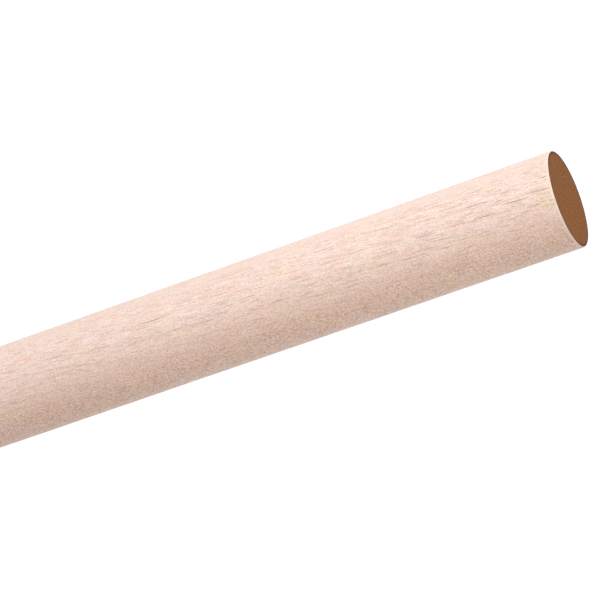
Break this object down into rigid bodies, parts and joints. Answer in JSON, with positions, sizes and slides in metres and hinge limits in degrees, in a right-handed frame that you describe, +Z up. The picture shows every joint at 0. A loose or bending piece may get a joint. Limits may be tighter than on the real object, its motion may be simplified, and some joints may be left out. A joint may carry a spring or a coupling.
{
  "type": "wooden dowel rod",
  "caption": "Straight round hardwood dowel rod with square-cut ends and a brown end coat, used as a pin, rail or spindle in round holes and sockets.",
  "frame": {"origin": "centre of the plain foot end, where the rod stands", "axes": "+Z up the rod's axis towards the coated end; X and Y are any two directions across it, and the picture looks about along +Y"},
  "size_m": [0.0318, 0.0318, 0.3048],
  "materials": {
    "wood": "sanded and unfinished, with a matt brown coat on the top end"
  },
  "bodies": {
    "root": {"dowel_rod": "wood"}
  },
  "joints": []
}
